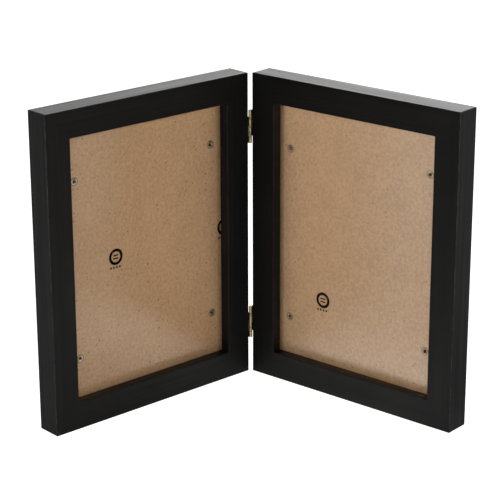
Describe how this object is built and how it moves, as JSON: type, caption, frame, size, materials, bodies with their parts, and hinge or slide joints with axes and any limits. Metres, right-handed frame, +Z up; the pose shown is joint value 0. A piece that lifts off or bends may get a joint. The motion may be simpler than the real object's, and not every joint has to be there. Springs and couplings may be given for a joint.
{
  "type": "hinged double photo frame",
  "caption": "Double photo frame that stands open like a book: black mitred wooden frames with glass, hardboard backs held by turn buttons, and brass butt hinges between them.",
  "frame": {"origin": "on the floor, in the middle of the standing frame's box at rest", "axes": "+Z up; +X to the right as seen from the open side; the fold opens towards -Y and the pins stand at +Y"},
  "size_m": [0.2998, 0.1324, 0.232],
  "materials": {
    "black_paint": "satin black paint over wood",
    "picture_glass": "clear glass, finely etched against glare",
    "hardboard": "bare tan hardboard",
    "zinc_steel": "zinc plated, satin",
    "nail_steel": "bare steel strip",
    "hinge_brass": "brass plated, satin"
  },
  "bodies": {
    "left_frame": {"left_top_rail": "black_paint", "left_bottom_rail": "black_paint", "left_outer_stile": "black_paint", "left_hinge_stile": "black_paint", "left_corner_v_nails": "nail_steel", "left_glass": "picture_glass", "left_backing_board": "hardboard", "left_rivets": "zinc_steel", "left_hinge_screws": "hinge_brass", "upper_hinge_left_leaf": "hinge_brass", "lower_hinge_left_leaf": "hinge_brass", "upper_hinge_pin": "hinge_brass", "lower_hinge_pin": "hinge_brass"},
    "right_frame": {"right_top_rail": "black_paint", "right_bottom_rail": "black_paint", "right_outer_stile": "black_paint", "right_hinge_stile": "black_paint", "right_corner_v_nails": "nail_steel", "right_glass": "picture_glass", "right_backing_board": "hardboard", "right_rivets": "zinc_steel", "right_hinge_screws": "hinge_brass", "upper_hinge_right_leaf": "hinge_brass", "lower_hinge_right_leaf": "hinge_brass"},
    "left_turn_button_upper_outer": {"left_turn_button_upper_outer": "zinc_steel"},
    "left_turn_button_upper_hinge": {"left_turn_button_upper_hinge": "zinc_steel"},
    "left_turn_button_lower_outer": {"left_turn_button_lower_outer": "zinc_steel"},
    "left_turn_button_lower_hinge": {"left_turn_button_lower_hinge": "zinc_steel"},
    "right_turn_button_upper_outer": {"right_turn_button_upper_outer": "zinc_steel"},
    "right_turn_button_upper_hinge": {"right_turn_button_upper_hinge": "zinc_steel"},
    "right_turn_button_lower_outer": {"right_turn_button_lower_outer": "zinc_steel"},
    "right_turn_button_lower_hinge": {"right_turn_button_lower_hinge": "zinc_steel"}
  },
  "joints": [
    {"name": "fold", "type": "hinge", "parent": "left_frame", "child": "right_frame", "pos_m": [0, 0.05194, 0.116], "axis": [0, 0, 1], "range_deg": [-98, 82]},
    {"name": "left_upper_outer_button_turn", "type": "hinge", "parent": "left_frame", "child": "left_turn_button_upper_outer", "pos_m": [-0.12341, -0.03732, 0.1779], "axis": [-0.6561, 0.7547, 0], "continuous": true},
    {"name": "left_upper_hinge_button_turn", "type": "hinge", "parent": "left_frame", "child": "left_turn_button_upper_hinge", "pos_m": [-0.03096, 0.04305, 0.1813], "axis": [-0.6561, 0.7547, 0], "continuous": true},
    {"name": "left_lower_outer_button_turn", "type": "hinge", "parent": "left_frame", "child": "left_turn_button_lower_outer", "pos_m": [-0.12341, -0.03732, 0.0479], "axis": [-0.6561, 0.7547, 0], "continuous": true},
    {"name": "left_lower_hinge_button_turn", "type": "hinge", "parent": "left_frame", "child": "left_turn_button_lower_hinge", "pos_m": [-0.03096, 0.04305, 0.0513], "axis": [-0.6561, 0.7547, 0], "continuous": true},
    {"name": "right_upper_outer_button_turn", "type": "hinge", "parent": "right_frame", "child": "right_turn_button_upper_outer", "pos_m": [0.12341, -0.03732, 0.1813], "axis": [0.6561, 0.7547, 0], "continuous": true},
    {"name": "right_upper_hinge_button_turn", "type": "hinge", "parent": "right_frame", "child": "right_turn_button_upper_hinge", "pos_m": [0.03096, 0.04305, 0.1779], "axis": [0.6561, 0.7547, 0], "continuous": true},
    {"name": "right_lower_outer_button_turn", "type": "hinge", "parent": "right_frame", "child": "right_turn_button_lower_outer", "pos_m": [0.12341, -0.03732, 0.0513], "axis": [0.6561, 0.7547, 0], "continuous": true},
    {"name": "right_lower_hinge_button_turn", "type": "hinge", "parent": "right_frame", "child": "right_turn_button_lower_hinge", "pos_m": [0.03096, 0.04305, 0.0479], "axis": [0.6561, 0.7547, 0], "continuous": true}
  ]
}
